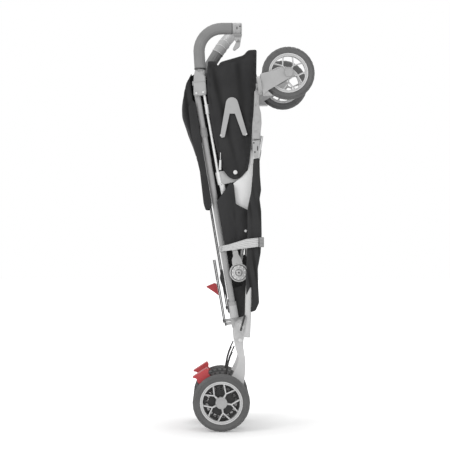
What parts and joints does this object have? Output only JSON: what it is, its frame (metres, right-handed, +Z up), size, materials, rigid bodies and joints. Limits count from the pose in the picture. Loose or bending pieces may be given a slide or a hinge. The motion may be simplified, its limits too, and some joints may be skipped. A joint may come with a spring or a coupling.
{
  "type": "umbrella stroller",
  "caption": "Folded umbrella stroller with hooked foam handles, spoked twin wheels, a hood, cloth seat and red foot pedals; it unfolds by its cross links.",
  "frame": {"origin": "middle of the folded stroller's box, at the height where its rear wheels stand", "axes": "+Z up along the folded stroller, +X from the push tubes towards the front wheels, +Y to the stroller's left side"},
  "size_m": [0.3468, 0.308, 1.0842],
  "materials": {
    "black_cable": "black cable sheath",
    "black_cloth": "woven polyester",
    "dark_plastic": "matt black",
    "foam": "matt foam",
    "grey_plastic": "satin grey",
    "grey_tube": "satin grey paint",
    "red_plastic": "gloss red",
    "rubber": "matt grey",
    "silver_plastic": "satin silver grey",
    "silver_tube": "brushed",
    "webbing": "woven webbing"
  },
  "bodies": {
    "right_push": {"back_cloth": "black_cloth", "basket_cloth": "black_cloth", "hood_cloth": "black_cloth", "right_backrest_tube": "silver_tube", "right_handle_housing": "silver_plastic", "right_hood_panel": "black_cloth", "right_hood_stay": "silver_plastic", "right_push_tube": "grey_tube", "seat_cloth": "black_cloth"},
    "strap": {"carry_strap": "webbing", "strap_clip": "grey_plastic"},
    "left_link": {"cross_link_left": "silver_tube"},
    "right_link": {"cross_link_right": "silver_tube"},
    "pedal": {"fold_pedal": "red_plastic"},
    "left_push": {"left_backrest_tube": "silver_tube", "left_handle_housing": "silver_plastic", "left_hood_panel": "black_cloth", "left_hood_stay": "silver_plastic", "left_push_tube": "grey_tube"},
    "left_rear": {"left_brake_cable": "black_cable", "left_rear_leg": "silver_plastic"},
    "left_brake": {"left_brake_pedal": "red_plastic"},
    "left_front": {"left_caster_bracket": "grey_plastic", "left_front_tube": "silver_tube", "left_side_flap": "black_cloth"},
    "left_caster": {"left_caster_fork": "silver_plastic"},
    "left_front_wheel": {"left_front_rim": "silver_plastic", "left_front_tyre": "rubber"},
    "left_button": {"left_handle_button": "silver_plastic"},
    "left_handle": {"left_handle_grip": "foam", "left_handle_tube": "silver_plastic"},
    "left_hood": {"left_hood_arm": "dark_plastic"},
    "left_slider": {"left_link_slider": "grey_plastic"},
    "left_inner_wheel": {"left_rear_inner_rim": "silver_plastic", "left_rear_inner_tyre": "rubber"},
    "left_outer_wheel": {"left_rear_outer_rim": "silver_plastic", "left_rear_outer_tyre": "rubber"},
    "left_seat": {"left_seat_rail": "silver_tube"},
    "right_rear_frame": {"right_brake_cable": "black_cable", "right_rear_leg": "silver_plastic"},
    "right_brake": {"right_brake_pedal": "red_plastic"},
    "right_front": {"right_caster_bracket": "grey_plastic", "right_front_tube": "silver_tube", "right_side_flap": "black_cloth"},
    "right_caster": {"right_caster_fork": "silver_plastic"},
    "right_front_wheel": {"right_front_rim": "silver_plastic", "right_front_tyre": "rubber"},
    "right_button": {"right_handle_button": "silver_plastic"},
    "right_handle": {"right_handle_grip": "foam", "right_handle_tube": "silver_plastic"},
    "right_hood": {"right_hood_arm": "dark_plastic"},
    "right_slider": {"right_link_slider": "grey_plastic"},
    "right_inner_wheel": {"right_rear_inner_rim": "silver_plastic", "right_rear_inner_tyre": "rubber"},
    "right_outer_wheel": {"right_rear_outer_rim": "silver_plastic", "right_rear_outer_tyre": "rubber"},
    "right_seat": {"right_seat_rail": "silver_tube", "seat_base": "black_cloth"},
    "left_bar": {"spreader_left": "dark_plastic"},
    "right_bar": {"spreader_right": "dark_plastic"}
  },
  "joints": [
    {"name": "unfold", "type": "hinge", "parent": "right_rear_frame", "child": "right_front", "pos_m": [-0.01635, -0.112, 0.2743], "axis": [0, 1, 0], "range_deg": [0, 97.46]},
    {"name": "right_push_follow", "type": "hinge", "parent": "right_rear_frame", "child": "right_push", "pos_m": [-0.01635, -0.082, 0.2743], "axis": [0, 1, 0], "range_deg": [-26.6, 0]},
    {"name": "left_push_follow", "type": "slide", "parent": "right_push", "child": "left_push", "axis": [0, 1, 0], "range_m": [0, 0.221]},
    {"name": "left_rear_follow", "type": "hinge", "parent": "left_push", "child": "left_rear", "pos_m": [-0.01635, 0.082, 0.2743], "axis": [0, 1, 0], "range_deg": [0, 26.6]},
    {"name": "left_front_follow", "type": "hinge", "parent": "left_rear", "child": "left_front", "pos_m": [-0.01635, 0.112, 0.2743], "axis": [0, 1, 0], "range_deg": [0, 97.56]},
    {"name": "right_seat_follow", "type": "hinge", "parent": "right_push", "child": "right_seat", "pos_m": [-0.02326, -0.082, 0.41439], "axis": [0, 1, 0], "range_deg": [0, 106.6]},
    {"name": "left_seat_follow", "type": "slide", "parent": "right_seat", "child": "left_seat", "axis": [0, 1, 0], "range_m": [0, 0.221]},
    {"name": "left_hood_follow", "type": "slide", "parent": "right_hood", "child": "left_hood", "axis": [0, 1, 0], "range_m": [0, 0.221]},
    {"name": "right_link_follow", "type": "hinge", "parent": "right_push", "child": "right_link", "pos_m": [-0.04977, -0.08, 0.3133], "axis": [0.9862, 0, 0.1657], "range_deg": [-30.9, 0]},
    {"name": "left_link_follow", "type": "hinge", "parent": "left_push", "child": "left_link", "pos_m": [-0.04977, 0.08, 0.3133], "axis": [0.9862, 0, 0.1657], "range_deg": [0, 30.9]},
    {"name": "right_bar_follow", "type": "hinge", "parent": "right_push", "child": "right_bar", "pos_m": [-0.05745, -0.0667, 0.27753], "axis": [0.9862, 0, 0.1657], "range_deg": [-61.17, 0]},
    {"name": "left_bar_follow", "type": "hinge", "parent": "left_push", "child": "left_bar", "pos_m": [-0.05745, 0.0667, 0.27753], "axis": [0.9862, 0, 0.1657], "range_deg": [0, 61.17]},
    {"name": "right_slider_follow", "type": "slide", "parent": "right_push", "child": "right_slider", "axis": [0.1657, 0, -0.9862], "range_m": [0, 0.1497]},
    {"name": "left_slider_follow", "type": "slide", "parent": "left_push", "child": "left_slider", "axis": [0.1657, 0, -0.9862], "range_m": [0, 0.1497]},
    {"name": "hood_open", "type": "hinge", "parent": "right_push", "child": "right_hood", "pos_m": [-0.03235, -0.09, 0.67722], "axis": [0, 1, 0], "range_deg": [0, 75]},
    {"name": "fold_pedal_tilt", "type": "hinge", "parent": "left_bar", "child": "pedal", "pos_m": [-0.07526, 0.03035, 0.34849], "axis": [0, 1, 0], "range_deg": [-20, 0]},
    {"name": "carry_strap_swing", "type": "hinge", "parent": "right_push", "child": "strap", "pos_m": [-0.07083, -0.1265, 0.47715], "axis": [0, 0, 1], "range_deg": [-75, 0]},
    {"name": "right_handle_swivel", "type": "hinge", "parent": "right_push", "child": "right_handle", "pos_m": [-0.12475, -0.0835, 0.938], "axis": [0.5446, 0, 0.8387], "range_deg": [-90, 0]},
    {"name": "right_handle_button_press", "type": "slide", "parent": "right_push", "child": "right_button", "axis": [1, 0, 0], "range_m": [0, 0.003], "stiffness_N_per_m": 600},
    {"name": "right_brake_tilt", "type": "hinge", "parent": "right_rear_frame", "child": "right_brake", "pos_m": [-0.08925, -0.082, 0.118], "axis": [0, 1, 0], "range_deg": [-18, 0]},
    {"name": "right_rear_outer_wheel_spin", "type": "hinge", "parent": "right_rear_frame", "child": "right_outer_wheel", "pos_m": [-0.06925, -0.118, 0.0753], "axis": [0, 1, 0], "continuous": true},
    {"name": "right_rear_inner_wheel_spin", "type": "hinge", "parent": "right_rear_frame", "child": "right_inner_wheel", "pos_m": [-0.06925, -0.046, 0.0753], "axis": [0, 1, 0], "continuous": true},
    {"name": "right_caster_swivel", "type": "hinge", "parent": "right_front", "child": "right_caster", "pos_m": [0.03475, -0.13, 0.902], "axis": [-0.9915, 0, -0.1298], "continuous": true},
    {"name": "right_front_wheel_spin", "type": "hinge", "parent": "right_caster", "child": "right_front_wheel", "pos_m": [0.10445, -0.13, 0.9331], "axis": [0, 1, 0], "continuous": true},
    {"name": "left_handle_swivel", "type": "hinge", "parent": "left_push", "child": "left_handle", "pos_m": [-0.12475, 0.0835, 0.938], "axis": [0.5446, 0, 0.8387], "range_deg": [-90, 0]},
    {"name": "left_handle_button_press", "type": "slide", "parent": "left_push", "child": "left_button", "axis": [1, 0, 0], "range_m": [0, 0.003], "stiffness_N_per_m": 600},
    {"name": "left_brake_tilt", "type": "hinge", "parent": "left_rear", "child": "left_brake", "pos_m": [-0.08925, 0.082, 0.118], "axis": [0, 1, 0], "range_deg": [-18, 0]},
    {"name": "left_rear_outer_wheel_spin", "type": "hinge", "parent": "left_rear", "child": "left_outer_wheel", "pos_m": [-0.06925, 0.118, 0.0753], "axis": [0, 1, 0], "continuous": true},
    {"name": "left_rear_inner_wheel_spin", "type": "hinge", "parent": "left_rear", "child": "left_inner_wheel", "pos_m": [-0.06925, 0.046, 0.0753], "axis": [0, 1, 0], "continuous": true},
    {"name": "left_caster_swivel", "type": "hinge", "parent": "left_front", "child": "left_caster", "pos_m": [0.03475, 0.13, 0.902], "axis": [-0.9915, 0, -0.1298], "continuous": true},
    {"name": "left_front_wheel_spin", "type": "hinge", "parent": "left_caster", "child": "left_front_wheel", "pos_m": [0.10445, 0.13, 0.9331], "axis": [0, 1, 0], "continuous": true}
  ],
  "couplings": [
    {"joint": "right_push_follow", "follows": "unfold", "ratio": -0.27191},
    {"joint": "left_push_follow", "follows": "unfold", "m_per_rad": 0.12934},
    {"joint": "left_rear_follow", "follows": "unfold", "ratio": 0.27191},
    {"joint": "left_front_follow", "follows": "unfold", "ratio": 1},
    {"joint": "right_seat_follow", "follows": "unfold", "ratio": 1.0928},
    {"joint": "left_seat_follow", "follows": "unfold", "m_per_rad": 0.12934},
    {"joint": "left_hood_follow", "follows": "unfold", "m_per_rad": 0.12934},
    {"joint": "right_link_follow", "follows": "unfold", "ratio": -0.31603},
    {"joint": "left_link_follow", "follows": "unfold", "ratio": 0.31603},
    {"joint": "right_bar_follow", "follows": "unfold", "ratio": -0.62662},
    {"joint": "left_bar_follow", "follows": "unfold", "ratio": 0.62662},
    {"joint": "right_slider_follow", "follows": "unfold", "m_per_rad": 0.08742},
    {"joint": "left_slider_follow", "follows": "unfold", "m_per_rad": 0.08742}
  ]
}
